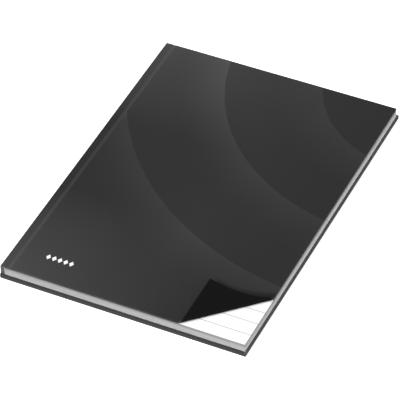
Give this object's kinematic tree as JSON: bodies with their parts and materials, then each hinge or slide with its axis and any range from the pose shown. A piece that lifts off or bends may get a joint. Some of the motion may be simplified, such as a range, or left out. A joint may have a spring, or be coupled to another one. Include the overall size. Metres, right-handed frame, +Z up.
{
  "type": "composition notebook",
  "caption": "Ruled notebook with a stiff black back cover, a grey spine strip and a thin black front cover whose lower fore-edge corner is turned over.",
  "frame": {"origin": "middle of the back cover's underside, on the surface that the notebook lies on", "axes": "+X from the spine to the fore-edge, +Y from the tail to the head, +Z up through the closed notebook"},
  "size_m": [0.1516, 0.213, 0.0102],
  "materials": {
    "cover_wrap": "satin",
    "cover_varnish": "satin",
    "cover_card": "matte",
    "black_board": "matte",
    "black_endpaper": "matte",
    "grey_board": "matte",
    "lining": "matte",
    "leaves": "matte",
    "rule_ink": "matte",
    "white_ink": "satin"
  },
  "bodies": {
    "back_cover": {"back_wrap": "cover_wrap", "back_board": "black_board", "back_pastedown": "black_endpaper"},
    "text_block": {"pages": "leaves", "page_rules": "rule_ink", "spine_lining": "lining", "spine_board": "grey_board", "joint_strip": "cover_card", "spine_wrap": "cover_wrap"},
    "front_cover": {"front_card": "cover_card", "front_pastedown": "black_endpaper", "front_wrap": "cover_wrap", "cover_arcs": "cover_varnish", "title_mark": "white_ink"}
  },
  "joints": [
    {"name": "back_cover_hinge", "type": "hinge", "parent": "back_cover", "child": "text_block", "pos_m": [-0.0758, 0, 0.0023], "axis": [0, -1, 0], "range_deg": [0, 180]},
    {"name": "front_cover_hinge", "type": "hinge", "parent": "text_block", "child": "front_cover", "pos_m": [-0.0701, 0, 0.0086], "axis": [0, -1, 0], "range_deg": [0, 180]}
  ]
}
